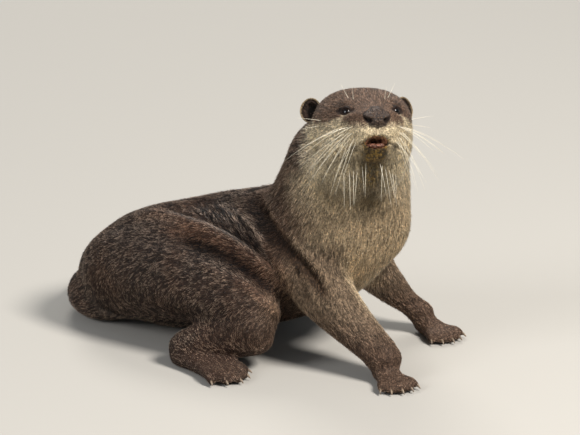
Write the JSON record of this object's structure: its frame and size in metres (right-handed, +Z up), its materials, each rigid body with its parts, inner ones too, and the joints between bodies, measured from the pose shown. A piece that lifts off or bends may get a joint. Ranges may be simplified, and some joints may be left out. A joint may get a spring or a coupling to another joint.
{
  "type": "otter",
  "caption": "Life-size still model of a smooth-coated otter, crouched with its forefeet braced, tail curled round and head raised.",
  "frame": {"origin": "centre of the footprint box, on the floor the animal rests on", "axes": "+X from the rump to the chest, the longest side; +Y to the animal's left; +Z up"},
  "size_m": [0.4698, 0.4352, 0.3108],
  "materials": {
    "coat_dark": "short dense dark brown fur with pale-tipped guard hairs",
    "coat_brown": "short dense grey-brown fur",
    "coat_pale": "cream fur of the cheeks and throat",
    "nose_skin": "bare pebbled nose skin, matt",
    "eye_wet": "wet dark eye",
    "claw_horn": "worn brown horn",
    "tongue_pink": "moist pink skin"
  },
  "bodies": {
    "root": {"belly": "coat_dark", "chest": "coat_brown", "ear_left": "coat_dark", "ear_right": "coat_dark", "eye_left": "eye_wet", "eye_right": "eye_wet", "forearm_left": "coat_dark", "forearm_right": "coat_dark", "forepaw_left": "coat_dark", "forepaw_left_claw_1": "claw_horn", "forepaw_left_claw_2": "claw_horn", "forepaw_left_claw_3": "claw_horn", "forepaw_left_claw_4": "claw_horn", "forepaw_left_claw_5": "claw_horn", "forepaw_right": "coat_dark", "forepaw_right_claw_1": "claw_horn", "forepaw_right_claw_2": "claw_horn", "forepaw_right_claw_3": "claw_horn", "forepaw_right_claw_4": "claw_horn", "forepaw_right_claw_5": "claw_horn", "head": "coat_brown", "hindfoot_left": "coat_dark", "hindfoot_left_claw_1": "claw_horn", "hindfoot_left_claw_2": "claw_horn", "hindfoot_left_claw_3": "claw_horn", "hindfoot_left_claw_4": "claw_horn", "hindfoot_left_claw_5": "claw_horn", "hindfoot_right": "coat_dark", "hindfoot_right_claw_1": "claw_horn", "hindfoot_right_claw_2": "claw_horn", "hindfoot_right_claw_3": "claw_horn", "hindfoot_right_claw_4": "claw_horn", "hindfoot_right_claw_5": "claw_horn", "hips": "coat_dark", "lower_jaw": "coat_pale", "neck": "coat_pale", "nose": "nose_skin", "shank_left": "coat_dark", "shank_right": "coat_dark", "tail_base": "coat_dark", "tail_middle": "coat_dark", "tail_tip": "coat_dark", "thigh_left": "coat_dark", "thigh_right": "coat_dark", "tongue": "tongue_pink", "upper_arm_left": "coat_dark", "upper_arm_right": "coat_dark"}
  },
  "joints": []
}
